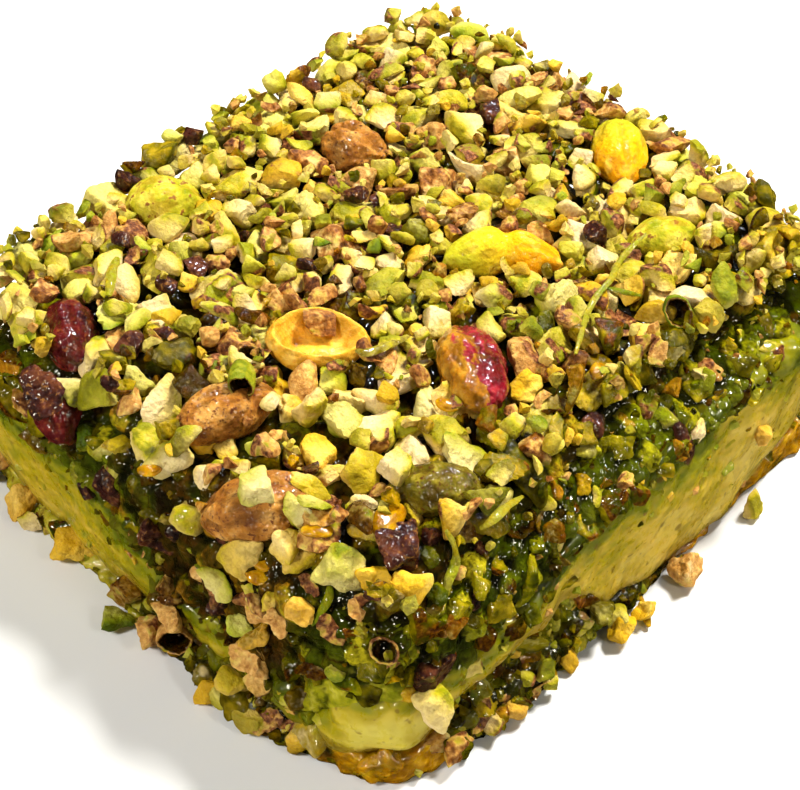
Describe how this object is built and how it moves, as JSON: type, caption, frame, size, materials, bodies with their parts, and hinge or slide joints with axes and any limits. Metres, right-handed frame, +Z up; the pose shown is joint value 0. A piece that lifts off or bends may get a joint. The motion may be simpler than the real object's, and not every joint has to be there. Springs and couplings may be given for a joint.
{
  "type": "pistachio baklava cake",
  "caption": "Square-cut portion of layered cake: soaked pastry, ground pistachio, thick cream and green nut paste under a bed of chopped and whole pistachios.",
  "frame": {"origin": "middle of the flat underside", "axes": "+Z up through the layers, +Y along the longer side, -Y towards the side with the whole kernels on its edge, +X towards the side where the cream hangs over the base"},
  "size_m": [0.0848, 0.0944, 0.0347],
  "materials": {
    "pastry": "syrup-soaked, translucent amber, glossy",
    "ground_pistachio": "moist, grainy, dark green",
    "cream": "smooth, moist, pale yellow with green smears",
    "paste": "wet, lumpy, dark green",
    "chopped_pistachio": "dry cut nut, pale yellow-green with bright green rims and brown skins",
    "kernel_red": "glossy purple-red skin",
    "kernel_brown": "wrinkled brown skin",
    "kernel_yellow": "smooth yellow kernel, slightly oily",
    "kernel_green": "yellow-green kernel with skin remnants"
  },
  "bodies": {
    "root": {"pastry_base": "pastry", "ground_pistachio_layer": "ground_pistachio", "cream_layer": "cream", "pistachio_paste": "paste", "chopped_topping": "chopped_pistachio", "kernel_glossy_red": "kernel_red", "kernel_dark_red": "kernel_red", "kernel_red_brown": "kernel_red", "kernel_brown_corner": "kernel_brown", "kernel_brown_glossy": "kernel_brown", "kernel_tan_wrinkled": "kernel_brown", "kernel_yellow_bent": "kernel_yellow", "kernel_open_half": "kernel_yellow", "kernel_pale_far": "kernel_yellow", "kernel_yellow_green": "kernel_green", "kernel_olive": "kernel_green", "kernel_pale_green": "kernel_green"}
  },
  "joints": []
}
